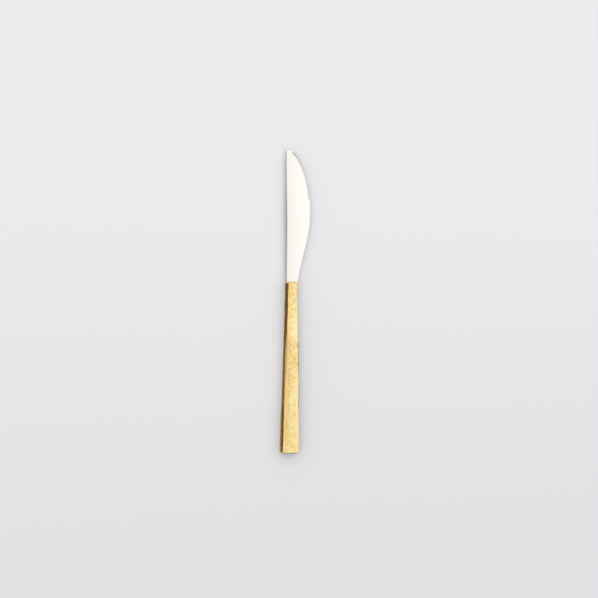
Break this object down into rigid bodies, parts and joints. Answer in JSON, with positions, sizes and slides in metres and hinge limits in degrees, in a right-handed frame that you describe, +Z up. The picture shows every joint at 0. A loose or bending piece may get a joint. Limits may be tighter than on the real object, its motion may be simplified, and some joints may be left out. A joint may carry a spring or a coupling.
{
  "type": "table knife",
  "caption": "Table knife with a flat, flared solid brass bar handle and a straight-backed, round-bellied steel blade that is finely serrated towards the tip.",
  "frame": {"origin": "middle of the knife's footprint, on the surface that it lies on", "axes": "+Y from the butt to the tip, +X from the spine to the cutting edge, +Z up from the surface"},
  "size_m": [0.0212, 0.21, 0.007],
  "materials": {
    "blade_steel": "fine satin ground, bright",
    "handle_brass": "hammered, satin, worn arrises",
    "silver_solder": "thin pale line, filed flush",
    "bedding_resin": "dull set resin",
    "pin_brass": "filed flush and satin"
  },
  "bodies": {
    "root": {"blade": "blade_steel", "upper_half": "handle_brass", "lower_half": "handle_brass", "seam_solder": "silver_solder", "tang_bedding": "bedding_resin", "front_pin": "pin_brass", "middle_pin": "pin_brass", "rear_pin": "pin_brass"}
  },
  "joints": []
}
